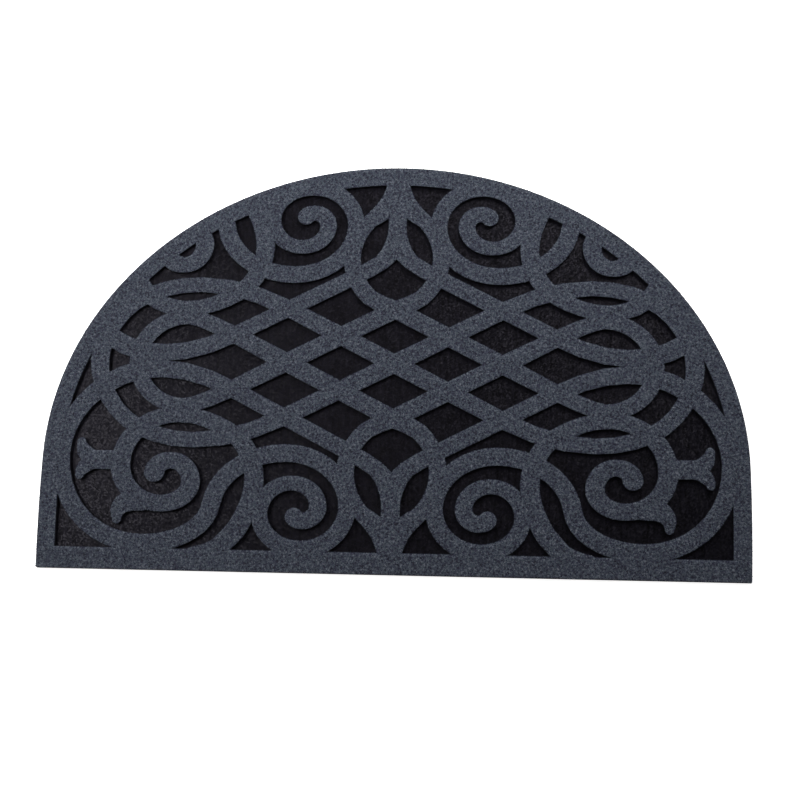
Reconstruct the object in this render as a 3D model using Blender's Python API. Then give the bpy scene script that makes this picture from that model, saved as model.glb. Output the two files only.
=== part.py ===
"""Half-moon doormat: a crumb-rubber backing and a raised openwork fibre face.

Run with Blender 4.5. Lengths in the tables are millimetres, the scene is in metres, +Z up.
The straight edge lies along X at the smallest Y, and the arc is at the largest Y.
The origin is on the floor, under the middle of the mat's box.
"""
import math
from collections import namedtuple

import bmesh
import bpy
import numpy as np
from mathutils import Vector
from mathutils.geometry import delaunay_2d_cdt

MM = 0.001

# Driving sizes of the mat
MAT_WIDTH = 750.0
MAT_DEPTH = 450.0
SIDE_LENGTH = 117.0
CORNER_DRAW_IN = 3.0
BACKING_THICKNESS = 3.2
LAYER_GAP = 0.3
FACE_THICKNESS = 4.5

# The face is set back from the backing's edge by this much
FACE_SETBACK = 0.6

# Widths of the plain border around the openwork
BORDER_AT_EDGE = 22.6
BORDER_AT_SIDE = 19.6
BORDER_AT_ARC = 21.0

# The grille is one quarter mirrored both ways about this height above the straight edge
PATTERN_CENTRE = 225.0

# Spacing of the crossing bars and their width
NODE_PITCH_ACROSS = 58.2
NODE_PITCH_DOWN = 30.1
BAR_WIDTH = 20.0

# How finely curves are cut: degrees of turn for each chord, steps round a whole circle, steps
# over the mat's arc and steps up its side
CHORD_TURN = 10.0
CIRCLE_STEPS = 20
ARC_STEPS = 72
SIDE_STEPS = 4

# Where two headings are nearly alike, or their tangents meet too near or too far off, in
# thirds of the chord, the middle line gets plain handles of a third of its chord
LEAST_CROSSING = 0.05
NEAREST_CORNER = 0.2
FARTHEST_CORNER = 9.0

# Windows smaller than this many square millimetres are closed up by the fibre
SMALLEST_WINDOW = 60.0

# Points of the crossing edge lines that lie within this distance are one point
MERGE_DISTANCE = 0.0001

# Points of an edge nearer to each other, or nearer to a straight line, are dropped
SHORTEST_CHORD = 0.6
FLATTEST_BEND = 0.04

# A station of a band's middle line: across and down from the pattern's centre, the heading
# there (0 is to the right, 90 towards the straight edge) and the band's width
Station = namedtuple("Station", "across down heading width")

BAR_HEADING = math.degrees(math.atan2(NODE_PITCH_DOWN, NODE_PITCH_ACROSS))


def node(column, row, rising):
    """Crossing of the bars, with the heading of the bar that rises or falls through it."""
    heading = -BAR_HEADING if rising else BAR_HEADING
    return Station(column * NODE_PITCH_ACROSS, row * NODE_PITCH_DOWN, heading, BAR_WIDTH)


# The stem leaves the straight edge, becomes a bar, sweeps round the corner and ends in
# the large scroll, a station at each quarter turn
LONG_SCROLL = (
    Station(0, 210, -90, 20),
    Station(0, 153.5, -90, 19.6),
    Station(4.5, 129.5, -66, 22),
    Station(16, 114.5, -46, 18),
    node(1, 3, True)._replace(width=17.5),
    node(3, 1, True)._replace(width=17.8),
    Station(250, 9, 0, 19),
    Station(294, 17, 24, 20.6),
    Station(354.5, 103.5, 90, 19),
    Station(322, 175.7, 140, 18.8),
    Station(262, 197.3, 180, 19),
    Station(190, 155.5, -97, 19.6),
    Station(112, 99, 180, 19),
    Station(45.5, 155.5, 90, 18.4),
    Station(94, 200.5, 0, 18),
    Station(138, 163.5, -90, 17),
    Station(105, 131, 180, 15.5),
    Station(76.5, 155.5, 90, 18.5),
    Station(92, 170.5, 0, 17.6),
    Station(101.5, 166.5, -50, 19),
)

# The corner scroll starts at its eye, turns outwards, crosses the outer loop and runs down
CORNER_SCROLL = (
    Station(252.5, 121.5, -95, 22),
    Station(235, 109, 180, 17.5),
    Station(213, 132.5, 90, 20.5),
    Station(244, 155, 0, 17.5),
    Station(289.5, 112.5, -90, 21),
    Station(230, 59, 180, 17),
    Station(200, 64, 160, 17),
    Station(155.5, 95, 119, 19.6),
    Station(145.2, 128.5, 90, 20.4),
    Station(152.8, 163.5, 66, 21),
    Station(163, 182.5, 49, 21.4),
    Station(180.4, 200.5, 35, 20.4),
    Station(206, 210.3, 12, 20.6),
)

# The inner ring closes round the end of the bars
INNER_RING = (
    Station(278.5, 0, 90, 19),
    Station(226, 49.5, 180, 16.2),
    node(3, 1, False)._replace(heading=180 + BAR_HEADING, width=18),
    node(2, 0, False)._replace(heading=180 + BAR_HEADING),
)

# The outer loop runs back into a bar that crosses the pattern's centre
OUTER_LOOP = (
    Station(320.5, 0, 90, 20),
    Station(298.5, 53.5, 130, 17.5),
    Station(213, 86.5, 180, 16.6),
    node(2, 2, False)._replace(heading=180 + BAR_HEADING, width=18.5),
    node(0, 0, False)._replace(heading=180 + BAR_HEADING),
)

# The leaning stem crosses the long scroll between the middle stem and the large scroll
LEANING_STEM = (
    node(-2, 0, False),
    node(0, 2, False)._replace(width=19.5),
    Station(28, 73.5, 42, 18.4),
    Station(49, 117.5, 90, 18.5),
    Station(30.5, 161.5, 133, 16.5),
    Station(15.5, 174, 128, 21.5),
    Station(2.5, 210, 98, 17),
)

# The fishtail and the leaf that grow from the corner scroll
FISHTAIL_NECK = (Station(289, 109.5, 0, 20.5), Station(321, 109.5, 0, 20))
FISHTAIL_UPPER = (
    Station(315, 109.5, -10, 19.5),
    Station(330, 99.5, -60, 15.5),
    Station(333.2, 90.2, -82, 9),
)
FISHTAIL_LOWER = (
    Station(314, 109.5, 10, 19.5),
    Station(328.8, 118, 50, 15),
    Station(332.8, 126.2, 85, 9),
)
CORNER_LEAF = (
    Station(262, 155, 4, 16),
    Station(281.5, 155, 30, 21.5),
    Station(289, 164.5, 78, 15.5),
    Station(289.2, 172.6, 95, 9.4),
)

QUARTER_BANDS = (
    LONG_SCROLL,
    CORNER_SCROLL,
    INNER_RING,
    OUTER_LOOP,
    LEANING_STEM,
    FISHTAIL_NECK,
    FISHTAIL_UPPER,
    FISHTAIL_LOWER,
    CORNER_LEAF,
)
QUARTERS = ((1, 1), (-1, 1), (1, -1), (-1, -1))


def direction(degrees):
    """Unit vector of a heading."""
    return np.array((math.cos(math.radians(degrees)), math.sin(math.radians(degrees))))


def turn_between(first, second):
    """Signed turn from one heading to another, within half a circle."""
    return (second - first + 180.0) % 360.0 - 180.0


def handle_lengths(start, end, leave, arrive, turn):
    """Lengths of a span's two handles: a quarter of an ellipse where the tangents meet."""
    chord = end - start
    third = np.linalg.norm(chord) / 3.0
    cross = leave[0] * arrive[1] - leave[1] * arrive[0]
    if abs(cross) < LEAST_CROSSING:
        return third, third
    to_corner = (chord[0] * arrive[1] - chord[1] * arrive[0]) / cross
    from_corner = (leave[0] * chord[1] - leave[1] * chord[0]) / cross
    if min(to_corner, from_corner) < NEAREST_CORNER * third:
        return third, third
    if max(to_corner, from_corner) > FARTHEST_CORNER * third:
        return third, third
    half_turn = math.radians(abs(turn)) / 2.0
    share = 4.0 / 3.0 * math.tan(half_turn / 2.0) / math.tan(half_turn)
    return share * to_corner, share * from_corner


def span(first, second):
    """Points, normals and half widths along the middle line between two stations."""
    start = np.array((first.across, first.down))
    end = np.array((second.across, second.down))
    leave = direction(first.heading)
    arrive = direction(second.heading)
    turn = turn_between(first.heading, second.heading)
    out_length, in_length = handle_lengths(start, end, leave, arrive, turn)
    chord = end - start
    chord_heading = math.degrees(math.atan2(chord[1], chord[0]))
    bend = abs(turn_between(first.heading, chord_heading))
    bend += abs(turn_between(chord_heading, second.heading))
    steps = max(1, math.ceil(bend / CHORD_TURN))
    control = (start, start + leave * out_length, end - arrive * in_length, end)
    rows = []
    for step in range(steps + 1):
        t = step / steps
        s = 1.0 - t
        point = (s ** 3 * control[0] + 3.0 * s * s * t * control[1]
                 + 3.0 * s * t * t * control[2] + t ** 3 * control[3])
        tangent = (s * s * (control[1] - control[0]) + 2.0 * s * t * (control[2] - control[1])
                   + t * t * (control[3] - control[2]))
        tangent = tangent / np.linalg.norm(tangent)
        normal = np.array((-tangent[1], tangent[0]))
        rows.append((point, normal, (s * first.width + t * second.width) / 2.0))
    return rows


def band_sides(stations):
    """Left and right edges of a band, as lines of points."""
    rows = []
    for first, second in zip(stations, stations[1:]):
        piece = span(first, second)
        rows += piece if not rows else piece[1:]
    left = np.array([point + normal * half for point, normal, half in rows])
    right = np.array([point - normal * half for point, normal, half in rows])
    return left, right


def cap(stations, at_end):
    """Round end of a band, a ring of points."""
    station = stations[-1] if at_end else stations[0]
    heading = station.heading + (0.0 if at_end else 180.0)
    centre = np.array((station.across, station.down))
    turns = [heading + 360.0 * step / CIRCLE_STEPS for step in range(CIRCLE_STEPS)]
    return np.array([centre + direction(turn) * station.width / 2.0 for turn in turns])


def quarter_shapes():
    """Convex pieces that fill the quarter's bands, and the edge lines that bound them."""
    pieces = []
    lines = []
    for stations in QUARTER_BANDS:
        left, right = band_sides(stations)
        for k in range(len(left) - 1):
            pieces.append(np.array((left[k], left[k + 1], right[k + 1], right[k])))
        for at_end in (False, True):
            ring = cap(stations, at_end)
            pieces.append(ring)
            lines.append(np.vstack((ring, ring[:1])))
        lines += [left, right]
    return pieces, lines


def mirrored(shape, quarter):
    """A quarter's shape in millimetres on the mat: X from the middle, Y from the edge."""
    return np.column_stack((
        shape[:, 0] * quarter[0],
        PATTERN_CENTRE - shape[:, 1] * quarter[1],
    ))


def half_moon(side_inset, arc_inset, edge_inset):
    """Closed outline of the mat, inset by a given amount at its sides, arc and edge."""
    half = MAT_WIDTH / 2.0
    right = []
    for step in range(SIDE_STEPS):
        up = edge_inset + (SIDE_LENGTH - edge_inset) * step / SIDE_STEPS
        lean = CORNER_DRAW_IN * (1.0 - up / SIDE_LENGTH) ** 2
        right.append((half - side_inset - lean, up))
    for step in range(ARC_STEPS // 2):
        turn = math.pi * step / ARC_STEPS
        right.append((
            (half - side_inset) * math.cos(turn),
            SIDE_LENGTH + (MAT_DEPTH - SIDE_LENGTH - arc_inset) * math.sin(turn),
        ))
    left = [(-x, y) for x, y in reversed(right)]
    return np.array(right + [(0.0, MAT_DEPTH - arc_inset)] + left)


def triangulate(lines):
    """Triangles whose edges follow the given open lines, over all their points."""
    points = []
    edges = []
    for line in lines:
        first = len(points)
        points += [Vector((x, y)) for x, y in line]
        edges += [(first + k, first + k + 1) for k in range(len(line) - 1)]
    result = delaunay_2d_cdt(points, edges, [], 0, MERGE_DISTANCE)
    corners = np.array([(p.x, p.y) for p in result[0]])
    triangles = np.array([tuple(face) for face in result[2]])
    return corners, triangles


def inside_loop(points, loop):
    """Which points a closed loop holds, by counting crossings to their right."""
    held = np.zeros(len(points), dtype=bool)
    for a, b in zip(loop, np.roll(loop, -1, axis=0)):
        spans = (a[1] > points[:, 1]) != (b[1] > points[:, 1])
        if a[1] != b[1]:
            reach = a[0] + (points[:, 1] - a[1]) * (b[0] - a[0]) / (b[1] - a[1])
            held ^= spans & (points[:, 0] < reach)
    return held


def neighbours_of(triangles):
    """For each triangle, the triangle across each of its three edges, or -1."""
    owner = {}
    for index, triangle in enumerate(triangles):
        for k in range(3):
            owner[(triangle[k], triangle[(k + 1) % 3])] = index
    return [
        [owner.get((triangle[(k + 1) % 3], triangle[k]), -1) for k in range(3)]
        for triangle in triangles
    ]


def close_small_windows(corners, triangles, solid, across):
    """Mark as solid every window that is smaller than the smallest kept one."""
    a, b, c = (corners[triangles[:, k]] for k in range(3))
    areas = 0.5 * np.abs((b[:, 0] - a[:, 0]) * (c[:, 1] - a[:, 1])
                         - (c[:, 0] - a[:, 0]) * (b[:, 1] - a[:, 1]))
    seen = solid.copy()
    for start in range(len(triangles)):
        if seen[start]:
            continue
        seen[start] = True
        window = [start]
        for index in window:
            for other in across[index]:
                if other >= 0 and not seen[other]:
                    seen[other] = True
                    window.append(other)
        if areas[window].sum() < SMALLEST_WINDOW:
            solid[window] = True


def edge_loops(triangles, solid, across):
    """Closed loops of corner numbers round the solid triangles."""
    following = {}
    for index, triangle in enumerate(triangles):
        if not solid[index]:
            continue
        for k in range(3):
            other = across[index][k]
            if other < 0 or not solid[other]:
                following[triangle[k]] = triangle[(k + 1) % 3]
    loops = []
    while following:
        loop = [next(iter(following))]
        while loop[-1] in following:
            loop.append(following.pop(loop[-1]))
        loops.append(loop[:-1])
    return loops


def tidy_loop(loop):
    """Drop the points that lie too near the one before, or on a straight run."""
    kept = [loop[0]]
    for point in loop[1:]:
        if np.linalg.norm(point - kept[-1]) >= SHORTEST_CHORD:
            kept.append(point)
    while np.linalg.norm(kept[-1] - kept[0]) < SHORTEST_CHORD:
        kept.pop()
    changed = True
    while changed:
        changed = False
        for k in range(len(kept) - 1, -1, -1):
            before = kept[k - 1]
            after = kept[(k + 1) % len(kept)]
            chord = after - before
            offset = kept[k] - before
            bow = abs(chord[0] * offset[1] - chord[1] * offset[0]) / np.linalg.norm(chord)
            if bow < FLATTEST_BEND:
                kept.pop(k)
                changed = True
                break
    return np.array(kept)


def face_loops():
    """Edges of the openwork face: its outline and its windows."""
    outline = half_moon(FACE_SETBACK, FACE_SETBACK, FACE_SETBACK)
    opening = half_moon(BORDER_AT_SIDE, BORDER_AT_ARC, BORDER_AT_EDGE)
    pieces, lines = quarter_shapes()
    all_pieces = [mirrored(piece, quarter) for quarter in QUARTERS for piece in pieces]
    all_lines = [mirrored(line, quarter) for quarter in QUARTERS for line in lines]
    rims = [np.vstack((rim, rim[:1])) for rim in (outline, opening)]
    corners, triangles = triangulate(rims + all_lines)
    middles = corners[triangles].mean(axis=1)
    covered = ~inside_loop(middles, opening)
    for piece in all_pieces:
        low = piece.min(axis=0)
        high = piece.max(axis=0)
        near = np.all((middles >= low) & (middles <= high), axis=1) & ~covered
        if near.any():
            covered[near] |= inside_loop(middles[near], piece)
    solid = covered & inside_loop(middles, outline)
    outside = ~inside_loop(middles, outline)
    across = neighbours_of(triangles)
    closed = solid | outside
    close_small_windows(corners, triangles, closed, across)
    solid = closed & ~outside
    return [tidy_loop(corners[loop]) for loop in edge_loops(triangles, solid, across)]


def slab(name, loops, low, thickness, material):
    """Raise a flat sheet with the given edges into a closed slab."""
    corners, triangles = triangulate([np.vstack((loop, loop[:1])) for loop in loops])
    middles = corners[triangles].mean(axis=1)
    held = np.zeros(len(middles), dtype=bool)
    for loop in loops:
        held ^= inside_loop(middles, loop)
    mesh = bpy.data.meshes.new(name)
    bm = bmesh.new()
    verts = [bm.verts.new((x * MM, (y - MAT_DEPTH / 2.0) * MM, low * MM)) for x, y in corners]
    for triangle in triangles[held]:
        bm.faces.new([verts[k] for k in triangle])
    raised = bmesh.ops.extrude_face_region(bm, geom=bm.faces[:])
    lifted = [item for item in raised["geom"] if isinstance(item, bmesh.types.BMVert)]
    bmesh.ops.translate(bm, verts=lifted, vec=(0.0, 0.0, thickness * MM))
    bmesh.ops.recalc_face_normals(bm, faces=bm.faces[:])
    bm.to_mesh(mesh)
    bm.free()
    mesh.materials.append(material)
    piece = bpy.data.objects.new(name, mesh)
    bpy.context.scene.collection.objects.link(piece)
    return piece


def plain_material(name, colour, roughness):
    """A Principled material of one colour."""
    material = bpy.data.materials.new(name)
    material.use_nodes = True
    shader = material.node_tree.nodes["Principled BSDF"]
    shader.inputs["Base Color"].default_value = (*colour, 1.0)
    shader.inputs["Roughness"].default_value = roughness
    shader.inputs["Metallic"].default_value = 0.0
    return material


def main():
    """Build the two layers of the mat."""
    for item in list(bpy.data.objects):
        bpy.data.objects.remove(item, do_unlink=True)
    rubber = plain_material("crumb_rubber", (0.011, 0.011, 0.013), 0.8)
    fibre = plain_material("heather_fibre", (0.050, 0.054, 0.070), 0.95)
    slab("rubber_backing", [half_moon(0.0, 0.0, 0.0)], 0.0, BACKING_THICKNESS, rubber)
    slab("fibre_face", face_loops(), BACKING_THICKNESS + LAYER_GAP, FACE_THICKNESS, fibre)


main()
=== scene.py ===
"""The looks of a half-moon doormat: a moulded rubber backing under an openwork face of needled fibre.

Every size is in metres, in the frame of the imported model: X along the straight edge, Y towards the
arc and Z up."""

import math
from collections import namedtuple

import bmesh
import bpy
import numpy as np
from bpy.props import FloatProperty, FloatVectorProperty, IntProperty, PointerProperty
from mathutils import Euler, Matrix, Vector
from mathutils.kdtree import KDTree


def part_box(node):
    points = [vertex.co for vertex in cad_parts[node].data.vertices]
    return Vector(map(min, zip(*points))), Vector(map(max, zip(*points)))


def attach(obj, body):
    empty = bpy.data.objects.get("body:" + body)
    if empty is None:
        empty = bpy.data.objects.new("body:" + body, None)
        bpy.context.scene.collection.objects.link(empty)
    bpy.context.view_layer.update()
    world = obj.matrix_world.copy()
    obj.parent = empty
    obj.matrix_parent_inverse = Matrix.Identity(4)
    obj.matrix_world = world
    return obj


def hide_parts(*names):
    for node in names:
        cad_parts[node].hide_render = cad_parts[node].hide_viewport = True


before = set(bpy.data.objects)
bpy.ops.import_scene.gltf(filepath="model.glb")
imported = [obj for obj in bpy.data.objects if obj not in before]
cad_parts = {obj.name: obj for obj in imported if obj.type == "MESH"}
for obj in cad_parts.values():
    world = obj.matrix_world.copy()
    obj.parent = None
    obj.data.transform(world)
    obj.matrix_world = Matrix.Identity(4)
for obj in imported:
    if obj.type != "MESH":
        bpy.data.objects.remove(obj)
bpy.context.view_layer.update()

bl_info = {
    "name": "Half-moon doormat",
    "version": (1, 0, 0),
    "blender": (4, 5, 0),
    "location": "3D View > Sidebar > Doormat",
    "description": "Dresses a half-moon doormat in crumb rubber and heather fibre",
    "category": "Object",
}

MM = 0.001
BODY = "root"

# Nodes of the imported model
BACKING_NODE = "rubber_backing"
FACE_NODE = "fibre_face"

# Faces and rims of the solids
MERGE_DISTANCE = 0.01 * MM
FLAT_ANGLE = math.radians(0.5)  # faces that meet at less are one flat face
RIM_ANGLE = math.radians(50)  # faces that meet at more meet at a rim
UPWARD = 0.9  # least height of the normal of a face that looks up
SIDEWAYS = 0.3  # most height of the normal of a wall
RIM_SEGMENTS = 3  # faces across a rounded rim

# Crumb rubber
CRUMB_TILT = 0.4  # how far a crumb's face leans out of the level, as a share of its normal
CRUMB_SHARE = 0.45  # how much a crumb's tone counts beside the streaks
DUST_STARTS = 0.45  # tone of the crumbs that are just not dusty
DUST_FULL = 1.05  # tone of the dustiest crumbs
STREAK_WIDTH = 3 * MM
STREAK_LENGTH = 20 * MM
STREAK_TURN = math.radians(30)
GRAIN_WIDTH = 0.8 * MM
GRAIN_HEIGHT = 0.1 * MM
RUBBER_ROUGHNESS = (0.38, 0.45)  # in the smoothest and the coarsest streaks
RUBBER_SPECULAR = 0.2

# Heather fibre
CLUMP_SHARE = 1.35  # how much a clump's tone counts beside a fibre's own
# Where each colour of the mix stands between the darkest tone, 0, and the palest, 1
TONE_STOPS = {"charcoal": 0.09, "violet": 0.42, "slate": 0.62, "ash": 0.95, "stone": 0.99}
MOTTLE_WIDTH = 1.3 * MM  # of the felt's ground
WALL_SHADE_FADE = 0.25 * MM  # the painted shade on the felt's walls fades out from this far below its height to this far above
BRISTLE_WIDTH = 0.6 * MM
BRISTLE_HEIGHT = 0.3 * MM
BRISTLE_STRENGTH = 0.6
FIBRE_ROUGHNESS = 0.85
GROUND_SPECULAR = 0.1
NAP_SPECULAR = 0.25
NAP_SHEEN = 0.15

# Each lock of the nap: two points at its root, two at its bend and one at its tip, with a
# four-sided lower face and a pointed upper one
LOCK_POINTS = 5
LOCK_CORNERS = np.array([0, 1, 2, 3, 3, 2, 4])
LOCK_FACES = np.array([0, 4])  # the corner that each face starts from
TONE = "fibre_tone"  # the attribute that holds how light each lock is
BAKE_MAP = "OFBake"  # the map that lays the nap out as seen from above

# How the nap stands
SEED = 7
LEAST_LEAN = math.radians(36)  # of a lock's lower half
MOST_LEAN = math.radians(70)
BEND = math.radians(24)  # how much further its upper half leans
FLATTEST_LEAN = math.radians(88)
LENGTH_SPREAD = (0.7, 1.25)  # the shortest and the longest lock beside the usual one
WIDTH_SPREAD = (0.8, 1.2)
MEAN_TONE = 0.5  # of the locks, between 0 and 1
TONE_SPREAD = 0.12

# How the nap changes near the rims of the windows and the mat
ROOT_INSET = 0.55 * MM  # least distance from a lock's root to a rim
RIM_SHARE = 0.015  # of the locks stand along the rims
RIM_LENGTH = 0.5  # how long those are beside the others
RIM_SPREAD = math.radians(50)  # how far those turn from the way out
RIM_STEP = 0.5 * MM  # between the points on the rims that a lock's distance is measured to
WORN_ZONE = 1.5 * MM  # the nap is worn short this near to a rim
WORN_LENGTH = 0.65  # length of a lock right at the rim beside a whole one
TURNED_ZONE = 4 * MM  # up to here from a rim the nap may be turned away from it
TURNED_LEAN = 1.05  # how far it leans there beside the rest
TURNED_SPREAD = math.radians(45)

# The stage
BOARD_ROUGHNESS = 0.9
BOARD_SPECULAR = 0.1
BOARD_GLOW = 0.9
WALL_TOP = math.sin(math.radians(7))  # where the pale of the studio's walls begins to fade
CEILING = math.sin(math.radians(22))  # where it has faded
SENSOR_WIDTH = 36  # millimetres

# The soft lamps: the name, the setting with the power, the place, the point that is lit, the
# width and height, and whether the mat mirrors the lamp
Lamp = namedtuple("Lamp", "name power place aim size mirrored")
LAMPS = (
    Lamp("top_softbox", "top_lamp", (0.05, 0.43, 0.9), (0.05, 0.43, 0), (0.8, 0.6), False),
    Lamp("left_softbox", "left_lamp", (-0.831, 0.095, 0.7), (0, 0, 0), (0.5, 0.4), True),
    Lamp("right_softbox", "right_lamp", (0.541, 0.945, 0.837), (0, 0, 0), (0.8, 0.6), True),
)


def linear(hex_colour):
    """An sRGB hex value as linear red, green and blue."""
    parts = [int(hex_colour[i : i + 2], 16) / 255 for i in (1, 3, 5)]
    return tuple(c / 12.92 if c <= 0.04045 else ((c + 0.055) / 1.055) ** 2.4 for c in parts)


def colour(name, description, hex_colour):
    """A colour property whose default is an sRGB hex value."""
    return FloatVectorProperty(
        name=name,
        description=description,
        subtype="COLOR",
        size=3,
        min=0,
        max=1,
        default=linear(hex_colour),
    )


def length(name, description, default):
    """A length property in metres."""
    return FloatProperty(name=name, description=description, default=default, min=0, unit="LENGTH")


def power(name, description, default):
    """A lamp's power property in watts."""
    return FloatProperty(name=name, description=description, default=default, min=0, unit="POWER")


class BackingSettings(bpy.types.PropertyGroup):
    """Sizes and colours of the moulded rubber backing."""

    edge_radius: length("Edge radius", "Rounding of the moulded edge", 0.7 * MM)
    crumb_size: length("Crumb size", "Width of one rubber crumb in the pressed surface", 1.3 * MM)
    dark: colour("Dark crumb", "Colour of the darkest rubber crumbs", "#000000")
    pale: colour("Pale crumb", "Colour of the dusty rubber crumbs", "#100F15")
    sheen: colour("Sheen", "Tint of the dull sheen of the rubber", "#E8E3F4")


class FaceSettings(bpy.types.PropertyGroup):
    """Sizes and colours of the needled fibre face and its nap."""

    rim_radius: length("Rim radius", "Rounding of the cut rims of the felt", 0.8 * MM)
    ground_depth: length("Ground depth", "How far the felt's ground lies under its nap", 0.6 * MM)
    fibre_length: length("Fibre length", "Usual length of a lock of fibres", 2.1 * MM)
    fibre_width: length("Fibre width", "Width of a lock of fibres at its root", 0.7 * MM)
    clump_size: length("Clump size", "Width of the blotches in the heather", 2.2 * MM)
    # Painted shade: below this height the felt's walls get the dark colour below, in place of the shade
    # down in the windows
    wall_shade_top: length("Painted shade height", "Height up to which the felt's walls are painted dark as shade", 7.35 * MM)
    wall_shade: colour("Painted wall shade", "Colour painted on the felt's walls below a height, as shade", "#16161B")
    strips: IntProperty(
        name="Nap strips", description="Pieces that the nap is divided into", default=5, min=1
    )
    fibres: IntProperty(
        name="Fibres in a strip", description="Locks of fibre in each strip", default=60000, min=1
    )
    charcoal: colour("Charcoal fibre", "The darkest fibre of the mix", "#181A20")
    violet: colour("Violet slate fibre", "The darker blue-grey that most fibres have", "#3A3C4D")
    slate: colour("Slate fibre", "The lighter blue-grey that most fibres have", "#49525A")
    ash: colour("Ash fibre", "The light grey fibre of the mix", "#6C6F7C")
    stone: colour("Stone fibre", "The palest fibre of the mix", "#74757C")


class StageSettings(bpy.types.PropertyGroup):
    """Floor, lamps and camera."""

    floor_width: length("Floor width", "Width of the square floor", 9.0)
    floor: colour("Floor", "Colour of the pale floor", "#F7F7F6")
    top_lamp: power("Top lamp", "Power of the soft lamp over the arc", 8.3)
    left_lamp: power("Left lamp", "Power of the soft lamp on the left", 5.5)
    right_lamp: power("Right lamp", "Power of the soft lamp at the back right", 8)
    wall_light: FloatProperty(
        name="Wall light", description="Brightness of the pale walls", default=0.75, min=0
    )
    room_light: FloatProperty(
        name="Room light", description="Brightness of the dark over the walls", default=0.06, min=0
    )
    camera_place: FloatVectorProperty(
        name="Camera place",
        description="Where the photograph was taken from",
        subtype="TRANSLATION",
        unit="LENGTH",
        size=3,
        default=(0.06169, -0.27938, 1.16811),
    )
    camera_turn: FloatVectorProperty(
        name="Camera turn",
        description="How the camera was turned",
        subtype="EULER",
        unit="ROTATION",
        size=3,
        default=[math.radians(a) for a in (11.7103, 2.3975, 1.3809)],
    )
    lens: FloatProperty(
        name="Lens", description="Focal length on a sensor 36 mm wide", default=50, unit="CAMERA"
    )


def add(tree, kind, inputs=None, **settings):
    """Adds a node with its own settings, and its inputs by name or number, each a value or an output."""
    node = tree.nodes.new(kind)
    for name, value in settings.items():
        setattr(node, name, value)
    for name, value in (inputs or {}).items():
        if isinstance(value, bpy.types.NodeSocket):
            tree.links.new(value, node.inputs[name])
        else:
            node.inputs[name].default_value = value
    return node


def empty_material(name):
    """A new material with its tree cleared, and the tree."""
    material = bpy.data.materials.new(name)
    material.use_nodes = True
    material.node_tree.nodes.clear()
    return material, material.node_tree


def bonded_crumb_rubber(settings):
    """Recycled rubber crumb, pressed in a mould with a binder. The eye sees a near-black skin with a
    soft grain of crumbs, some of them dusty, that shows a dull sheen where it mirrors a lamp. The
    crumbs, mostly under 1 mm, are drawn 1.3 mm wide so that they show."""
    material, tree = empty_material("bonded_crumb_rubber")
    place = add(tree, "ShaderNodeTexCoord").outputs["Object"]
    crumbs = add(tree, "ShaderNodeTexVoronoi", {"Vector": place, "Scale": 1 / settings.crumb_size})
    crumb_tone = add(tree, "ShaderNodeSeparateColor", {"Color": crumbs.outputs["Color"]})
    # The crumb was swept into the mould, which left long streaks.
    swept = add(
        tree,
        "ShaderNodeMapping",
        {
            "Vector": place,
            "Scale": (1 / STREAK_WIDTH, 1 / STREAK_LENGTH, 1 / STREAK_WIDTH),
            "Rotation": (0, 0, STREAK_TURN),
        },
    )
    streaks = add(tree, "ShaderNodeTexNoise", {"Vector": swept.outputs["Vector"], "Scale": 1, "Detail": 3})
    mixed = add(
        tree,
        "ShaderNodeMath",
        {0: crumb_tone.outputs["Red"], 1: CRUMB_SHARE, 2: streaks.outputs["Fac"]},
        operation="MULTIPLY_ADD",
    )
    dusty = add(
        tree,
        "ShaderNodeMapRange",
        {"Value": mixed.outputs[0], "From Min": DUST_STARTS, "From Max": DUST_FULL},
    )
    tint = add(
        tree,
        "ShaderNodeMix",
        {"Factor": dusty.outputs[0], "A": (*settings.dark, 1), "B": (*settings.pale, 1)},
        data_type="RGBA",
    )
    # Each crumb's pressed face leans its own way, so some mirror the lamps and some don't. The way
    # is the crumb's random colour, less the middle grey.
    lean = add(
        tree,
        "ShaderNodeVectorMath",
        {0: crumbs.outputs["Color"], 1: (0.5, 0.5, 0.5)},
        operation="SUBTRACT",
    )
    tilted = add(
        tree,
        "ShaderNodeVectorMath",
        {
            0: lean.outputs[0],
            1: (CRUMB_TILT, CRUMB_TILT, CRUMB_TILT),
            2: add(tree, "ShaderNodeNewGeometry").outputs["Normal"],
        },
        operation="MULTIPLY_ADD",
    )
    facing = add(tree, "ShaderNodeVectorMath", {0: tilted.outputs[0]}, operation="NORMALIZE")
    grain = add(tree, "ShaderNodeTexNoise", {"Vector": place, "Scale": 1 / GRAIN_WIDTH, "Detail": 2})
    bump = add(
        tree,
        "ShaderNodeBump",
        {
            "Height": grain.outputs["Fac"],
            "Strength": 1,
            "Distance": GRAIN_HEIGHT,
            "Normal": facing.outputs[0],
        },
    )
    smoothest, coarsest = RUBBER_ROUGHNESS
    roughness = add(
        tree,
        "ShaderNodeMapRange",
        {"Value": streaks.outputs["Fac"], "To Min": smoothest, "To Max": coarsest},
    )
    rubber = add(
        tree,
        "ShaderNodeBsdfPrincipled",
        {
            "Base Color": tint.outputs["Result"],
            "Roughness": roughness.outputs[0],
            "Specular IOR Level": RUBBER_SPECULAR,
            "Specular Tint": (*settings.sheen, 1),
            "Normal": bump.outputs[0],
        },
    )
    add(tree, "ShaderNodeOutputMaterial", {"Surface": rubber.outputs[0]})
    return material


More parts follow.
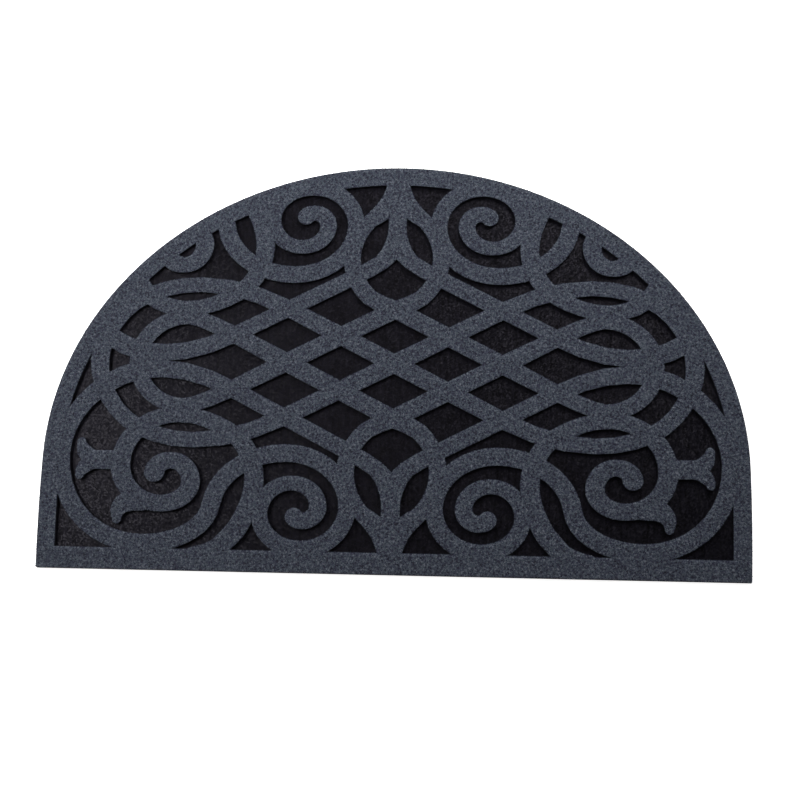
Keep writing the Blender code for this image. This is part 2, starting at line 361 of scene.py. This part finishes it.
def heather_fibre(name, settings, ground):
    """Solution-dyed polypropylene staple, needled into a felt. The eye sees a matt blue-grey heather,
    a mix of charcoal, slate and ash fibres with a few paler ones, in blotches some 2 mm wide. The
    fibres, about 0.05 mm thick, are drawn in locks some 0.7 mm wide so that they show."""
    material, tree = empty_material(name)
    place = add(tree, "ShaderNodeTexCoord").outputs["Object"]
    clumps = add(
        tree, "ShaderNodeTexNoise", {"Vector": place, "Scale": 1 / settings.clump_size, "Detail": 1}
    )
    if ground:
        tone = add(tree, "ShaderNodeTexNoise", {"Vector": place, "Scale": 1 / MOTTLE_WIDTH, "Detail": 3})
    else:
        tone = add(tree, "ShaderNodeAttribute", attribute_name=TONE)
    shade = add(
        tree,
        "ShaderNodeMath",
        {0: clumps.outputs["Fac"], 1: CLUMP_SHARE, 2: tone.outputs["Fac"]},
        operation="MULTIPLY_ADD",
    )
    centred = add(tree, "ShaderNodeMath", {0: shade.outputs[0], 1: CLUMP_SHARE / 2}, operation="SUBTRACT")
    mix = add(tree, "ShaderNodeValToRGB", {"Fac": centred.outputs[0]})
    stops = mix.color_ramp.elements
    while len(stops) < len(TONE_STOPS):
        stops.new(1)
    for stop, (fibre, position) in zip(stops, TONE_STOPS.items()):
        stop.position = position
        stop.color = (*getattr(settings, fibre), 1)
    # The felt's walls are painted near black below a height, a painted shade for the shade that falls down
    # in the windows, so they are black but for the top; the ground under the nap and the roots of the
    # locks are partly darkened too.
    height = add(tree, "ShaderNodeSeparateXYZ", {"Vector": place})
    above = add(
        tree,
        "ShaderNodeMapRange",
        {
            "Value": height.outputs["Z"],
            "From Min": settings.wall_shade_top - WALL_SHADE_FADE,
            "From Max": settings.wall_shade_top + WALL_SHADE_FADE,
        },
    )
    shaded_mix = add(
        tree,
        "ShaderNodeMix",
        {"Factor": above.outputs[0], "A": (*settings.wall_shade, 1), "B": mix.outputs["Color"]},
        data_type="RGBA",
    )
    bristle = add(tree, "ShaderNodeTexNoise", {"Vector": place, "Scale": 1 / BRISTLE_WIDTH, "Detail": 2})
    bump = add(
        tree,
        "ShaderNodeBump",
        {"Height": bristle.outputs["Fac"], "Strength": BRISTLE_STRENGTH, "Distance": BRISTLE_HEIGHT},
    )
    fibre_shader = add(
        tree,
        "ShaderNodeBsdfPrincipled",
        {
            "Base Color": shaded_mix.outputs["Result"],
            "Roughness": FIBRE_ROUGHNESS,
            "Specular IOR Level": GROUND_SPECULAR if ground else NAP_SPECULAR,
            "Sheen Weight": 0 if ground else NAP_SHEEN,
            "Normal": bump.outputs[0],
        },
    )
    add(tree, "ShaderNodeOutputMaterial", {"Surface": fibre_shader.outputs[0]})
    return material


def white_board(settings):
    """Matt painted board, lit from below as on a light table. The eye sees an even white."""
    material, tree = empty_material("white_board")
    board = add(
        tree,
        "ShaderNodeBsdfPrincipled",
        {
            "Base Color": (*settings.floor, 1),
            "Roughness": BOARD_ROUGHNESS,
            "Specular IOR Level": BOARD_SPECULAR,
            "Emission Color": (1, 1, 1, 1),
            "Emission Strength": BOARD_GLOW,
        },
    )
    add(tree, "ShaderNodeOutputMaterial", {"Surface": board.outputs[0]})
    return material


def finished(name, mesh, material, replaced=None):
    """Puts a mesh in the scene as a piece of the doormat, with its material."""
    mesh.materials.append(material)
    piece = bpy.data.objects.new(name, mesh)
    bpy.context.collection.objects.link(piece)
    if replaced:
        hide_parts(replaced)
    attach(piece, BODY)
    return piece


def merged_solid(node):
    """A bmesh of a CAD node with its loose triangles joined, and its flat faces made whole."""
    solid = bmesh.new()
    solid.from_mesh(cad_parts[node].data)
    bmesh.ops.remove_doubles(solid, verts=solid.verts, dist=MERGE_DISTANCE)
    bmesh.ops.dissolve_limit(
        solid, angle_limit=FLAT_ANGLE, use_dissolve_boundaries=False, verts=solid.verts, edges=solid.edges
    )
    return solid


def round_rims(solid, radius):
    """Rounds the edges where a flat side of the solid meets a wall."""
    rims = [
        e
        for e in solid.edges
        if len(e.link_faces) == 2
        and e.calc_face_angle() > RIM_ANGLE
        and any(abs(f.normal.z) > UPWARD for f in e.link_faces)
    ]
    bmesh.ops.bevel(
        solid,
        geom=rims,
        offset=radius,
        segments=RIM_SEGMENTS,
        profile=0.5,
        affect="EDGES",
        material=-1,
        clamp_overlap=True,
    )


def mesh_of(solid, name):
    """The mesh of a bmesh, which is freed."""
    mesh = bpy.data.meshes.new(name)
    solid.to_mesh(mesh)
    solid.free()
    return mesh


def top_triangles():
    """The triangles of the fibre face's upper side, a row of three points each, and twice their areas."""
    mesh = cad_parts[FACE_NODE].data
    mesh.calc_loop_triangles()
    corners = np.empty(len(mesh.loop_triangles) * 3, np.int32)
    mesh.loop_triangles.foreach_get("vertices", corners)
    points = np.empty(len(mesh.vertices) * 3, np.float32)
    mesh.vertices.foreach_get("co", points)
    triangles = points.reshape(-1, 3).astype(float)[corners].reshape(-1, 3, 3)
    across = np.cross(triangles[:, 1] - triangles[:, 0], triangles[:, 2] - triangles[:, 0])
    doubled = np.linalg.norm(across, axis=1)
    upward = across[:, 2] > UPWARD * doubled
    return triangles[upward], doubled[upward]


def rim_edges():
    """The ends of each edge of the fibre face's upper rims, and the way out from the wall below it."""
    solid = merged_solid(FACE_NODE)
    starts, ends, outward = [], [], []
    for edge in solid.edges:
        walls = [f for f in edge.link_faces if abs(f.normal.z) < SIDEWAYS]
        tops = [f for f in edge.link_faces if f.normal.z > UPWARD]
        if walls and tops:
            starts.append(edge.verts[0].co[:])
            ends.append(edge.verts[1].co[:])
            outward.append(walls[0].normal[:])
    solid.free()
    return np.array(starts), np.array(ends), np.array(outward)


def roots_on_top(count, chance):
    """Evenly chosen points on the fibre face's upper side."""
    triangles, doubled = top_triangles()
    picked = triangles[chance.choice(len(triangles), count, p=doubled / doubled.sum())]
    u, v = chance.random((2, count, 1))
    u, v = np.where(u + v > 1, 1 - u, u), np.where(u + v > 1, 1 - v, v)
    return picked[:, 0] + u * (picked[:, 1] - picked[:, 0]) + v * (picked[:, 2] - picked[:, 0])


def roots_on_rims(rims, count, chance):
    """Evenly chosen points along the upper rims, and for each the heading that points out of the wall."""
    starts, ends, outward = rims
    lengths = np.linalg.norm(ends - starts, axis=1)
    picked = chance.choice(len(starts), count, p=lengths / lengths.sum())
    along = chance.random((count, 1))
    return (
        starts[picked] + along * (ends[picked] - starts[picked]),
        np.arctan2(outward[picked, 1], outward[picked, 0]),
    )


def rim_tree(rims):
    """A search tree of points along the upper rims, and for each the heading out of the wall."""
    starts, ends, outward = rims
    steps = np.maximum(1, np.ceil(np.linalg.norm(ends - starts, axis=1) / RIM_STEP).astype(int))
    edge = np.repeat(np.arange(len(starts)), steps)
    part = np.concatenate([(np.arange(n) + 0.5) / n for n in steps])[:, None]
    points = starts[edge] + part * (ends[edge] - starts[edge])
    tree = KDTree(len(points))
    for index, point in enumerate(points):
        tree.insert(point, index)
    tree.balance()
    return tree, np.arctan2(outward[edge, 1], outward[edge, 0])


def turn_inward(rims, roots, headings, leans, lengths, chance):
    """Turns the locks that would reach over a rim, and more of those near it, so that they lean away
    from it. Gives back how worn each lock is, from 0 away from the rims to 1 on a rim."""
    tree, ways = rim_tree(rims)
    found = [tree.find(root) for root in roots]
    away = np.array([distance for _, _, distance in found])
    out = ways[[index for _, index, _ in found]]
    reach = lengths[: len(roots)] * np.sin(leans[: len(roots)])
    over = np.flatnonzero(away < np.maximum(reach, TURNED_ZONE * chance.random(len(roots))))
    headings[over] = out[over] + math.pi + chance.uniform(-TURNED_SPREAD, TURNED_SPREAD, len(over))
    leans[over] *= TURNED_LEAN
    inset = np.maximum(0, ROOT_INSET - away)[:, None]
    roots[:, :2] -= inset * np.stack([np.cos(out), np.sin(out)], axis=1)
    return np.clip(1 - away / WORN_ZONE, 0, 1)


def nap_strip(name, roots, headings, leans, lengths, widths, tones):
    """A mesh of locks, each a bent, pointed ribbon of two faces that stands on its root."""
    count = len(roots)
    along = np.stack([np.cos(headings), np.sin(headings), np.zeros(count)], axis=1)
    side = np.stack([-np.sin(headings), np.cos(headings), np.zeros(count)], axis=1) * widths[:, None] / 2
    rise = np.array([0.0, 0.0, 1.0])
    half = lengths[:, None] / 2
    lean = leans[:, None]
    bent = np.minimum(lean + BEND, FLATTEST_LEAN)
    middle = roots + half * (np.sin(lean) * along + np.cos(lean) * rise)
    tip = middle + half * (np.sin(bent) * along + np.cos(bent) * rise)
    points = np.stack([roots - side, roots + side, middle + side, middle - side, tip], axis=1)
    lock = np.arange(count)[:, None]
    corners = lock * LOCK_POINTS + LOCK_CORNERS
    starts = lock * len(LOCK_CORNERS) + LOCK_FACES
    mesh = bpy.data.meshes.new(name)
    mesh.vertices.add(count * LOCK_POINTS)
    mesh.vertices.foreach_set("co", points.astype(np.float32).ravel())
    mesh.loops.add(corners.size)
    mesh.loops.foreach_set("vertex_index", corners.astype(np.int32).ravel())
    mesh.polygons.add(starts.size)
    mesh.polygons.foreach_set("loop_start", starts.astype(np.int32).ravel())
    mesh.update(calc_edges=True)
    tone = mesh.attributes.new(TONE, "FLOAT", "POINT")
    tone.data.foreach_set("value", np.repeat(tones, LOCK_POINTS).astype(np.float32))
    low = points.reshape(-1, 3).min(axis=0)[:2]
    span = points.reshape(-1, 3).max(axis=0)[:2] - low
    seen = (points[:, LOCK_CORNERS, :2].reshape(-1, 2) - low) / span
    mesh.uv_layers.new(name=BAKE_MAP).uv.foreach_set("vector", seen.astype(np.float32).ravel())
    return mesh


class DOORMAT_OT_backing(bpy.types.Operator):
    """Models the moulded rubber backing"""

    bl_idname = "doormat.backing"
    bl_label = "Moulded backing"

    def execute(self, context):
        settings = context.scene.doormat_backing
        solid = merged_solid(BACKING_NODE)
        round_rims(solid, settings.edge_radius)
        mesh = mesh_of(solid, "moulded_backing")
        finished("moulded_backing", mesh, bonded_crumb_rubber(settings), BACKING_NODE)
        return {"FINISHED"}


class DOORMAT_OT_face(bpy.types.Operator):
    """Models the felt of the needled face and the nap that stands on it"""

    bl_idname = "doormat.face"
    bl_label = "Needled face"

    def execute(self, context):
        settings = context.scene.doormat_face
        solid = merged_solid(FACE_NODE)
        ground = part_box(FACE_NODE)[1].z - settings.ground_depth
        for vertex in solid.verts:
            vertex.co.z = min(vertex.co.z, ground)
        round_rims(solid, settings.rim_radius)
        mesh = mesh_of(solid, "needled_felt")
        material = heather_fibre("needle_felt_ground", settings, ground=True)
        felt = finished("needled_felt", mesh, material, FACE_NODE)
        nap = self.nap(settings, ground)
        return {"FINISHED"}

    def nap(self, settings, ground):
        """The strips of nap, from left to right."""
        chance = np.random.default_rng(SEED)
        count = settings.strips * settings.fibres
        on_rims = round(count * RIM_SHARE)
        on_top = count - on_rims
        rims = rim_edges()
        inner = roots_on_top(on_top, chance)
        outer, outward = roots_on_rims(rims, on_rims, chance)
        headings = np.concatenate(
            [
                chance.random(on_top) * math.tau,
                outward + chance.uniform(-RIM_SPREAD, RIM_SPREAD, on_rims),
            ]
        )
        leans = chance.uniform(LEAST_LEAN, MOST_LEAN, count)
        lengths = settings.fibre_length * chance.uniform(*LENGTH_SPREAD, count)
        lengths[on_top:] *= RIM_LENGTH
        tones = np.clip(MEAN_TONE + TONE_SPREAD * chance.standard_normal(count), 0, 1)
        worn = turn_inward(rims, inner, headings, leans, lengths, chance)
        lengths[:on_top] *= 1 - (1 - WORN_LENGTH) * worn
        outer[:, :2] -= ROOT_INSET * np.stack([np.cos(outward), np.sin(outward)], axis=1)
        roots = np.concatenate([inner, outer])
        roots[:, 2] = ground
        widths = settings.fibre_width * chance.uniform(*WIDTH_SPREAD, count)
        locks = (roots, headings, leans, lengths, widths, tones)
        from_left = np.argsort(roots[:, 0], kind="stable")
        material = heather_fibre("heather_nap", settings, ground=False)
        pieces = []
        for strip, chosen in enumerate(np.array_split(from_left, settings.strips), start=1):
            name = f"fibre_nap_{strip}"
            mesh = nap_strip(name, *(values[chosen] for values in locks))
            pieces.append(finished(name, mesh, material))
        return pieces


class DOORMAT_OT_stage(bpy.types.Operator):
    """Sets the floor, the soft lamps and the camera"""

    bl_idname = "doormat.stage"
    bl_label = "Stage"

    def execute(self, context):
        settings = context.scene.doormat_stage
        self.floor(context, settings)
        for row in LAMPS:
            self.lamp(context, row, getattr(settings, row.power))
        self.world(context, settings)
        self.camera(context, settings)
        context.scene.view_settings.view_transform = "Standard"
        return {"FINISHED"}

    def floor(self, context, settings):
        """The white floor that the mat lies on."""
        board = bmesh.new()
        bmesh.ops.create_grid(board, x_segments=1, y_segments=1, size=settings.floor_width / 2)
        mesh = mesh_of(board, "studio_floor")
        mesh.materials.append(white_board(settings))
        floor = bpy.data.objects.new("studio_floor", mesh)
        context.collection.objects.link(floor)

    def lamp(self, context, row, watts):
        """A soft rectangular lamp that looks at a point on the floor."""
        lamp = bpy.data.lights.new(row.name, "AREA")
        lamp.shape = "RECTANGLE"
        lamp.size, lamp.size_y = row.size
        lamp.energy = watts
        holder = bpy.data.objects.new(row.name, lamp)
        holder.location = row.place
        holder.rotation_euler = (Vector(row.aim) - Vector(row.place)).to_track_quat("-Z", "Y").to_euler()
        holder.visible_glossy = row.mirrored
        context.collection.objects.link(holder)

    def world(self, context, settings):
        """Pale walls that fade into the soft dark above them."""
        world = bpy.data.worlds.new("studio_room")
        world.use_nodes = True
        tree = world.node_tree
        tree.nodes.clear()
        look = add(tree, "ShaderNodeTexCoord").outputs["Generated"]
        height = add(tree, "ShaderNodeSeparateXYZ", {"Vector": look})
        strength = add(
            tree,
            "ShaderNodeMapRange",
            {
                "Value": height.outputs["Z"],
                "From Min": WALL_TOP,
                "From Max": CEILING,
                "To Min": settings.wall_light,
                "To Max": settings.room_light,
            },
        )
        light = add(
            tree, "ShaderNodeBackground", {"Color": (1, 1, 1, 1), "Strength": strength.outputs[0]}
        )
        add(tree, "ShaderNodeOutputWorld", {"Surface": light.outputs[0]})
        context.scene.world = world

    def camera(self, context, settings):
        """The camera, where the photograph was taken from."""
        data = bpy.data.cameras.new("camera")
        data.sensor_width = SENSOR_WIDTH
        data.lens = settings.lens
        camera = bpy.data.objects.new("camera", data)
        camera.location = settings.camera_place
        camera.rotation_euler = Euler(settings.camera_turn)
        context.collection.objects.link(camera)
        context.scene.camera = camera


class DOORMAT_PT_sidebar(bpy.types.Panel):
    """Lists the settings of the doormat and the steps that build it"""

    bl_idname = "DOORMAT_PT_sidebar"
    bl_label = "Half-moon doormat"
    bl_space_type = "VIEW_3D"
    bl_region_type = "UI"
    bl_category = "Doormat"

    def draw(self, context):
        for operator, group in STEPS:
            box = self.layout.box()
            box.operator(operator.bl_idname)
            settings = getattr(context.scene, group)
            for name in settings.__annotations__:
                box.prop(settings, name)


GROUPS = {
    "doormat_backing": BackingSettings,
    "doormat_face": FaceSettings,
    "doormat_stage": StageSettings,
}
STEPS = (
    (DOORMAT_OT_backing, "doormat_backing"),
    (DOORMAT_OT_face, "doormat_face"),
    (DOORMAT_OT_stage, "doormat_stage"),
)
CLASSES = (*GROUPS.values(), *(step[0] for step in STEPS), DOORMAT_PT_sidebar)


def register():
    """Registers the classes, and puts their settings on the scene."""
    for cls in CLASSES:
        bpy.utils.register_class(cls)
    for name, cls in GROUPS.items():
        setattr(bpy.types.Scene, name, PointerProperty(type=cls))


def unregister():
    """Takes the settings and the classes away again."""
    for name in GROUPS:
        delattr(bpy.types.Scene, name)
    for cls in reversed(CLASSES):
        bpy.utils.unregister_class(cls)


def main():
    """Builds the doormat and its stage."""
    register()
    bpy.ops.doormat.backing()
    bpy.ops.doormat.face()
    bpy.ops.doormat.stage()


if __name__ == "__main__":
    main()
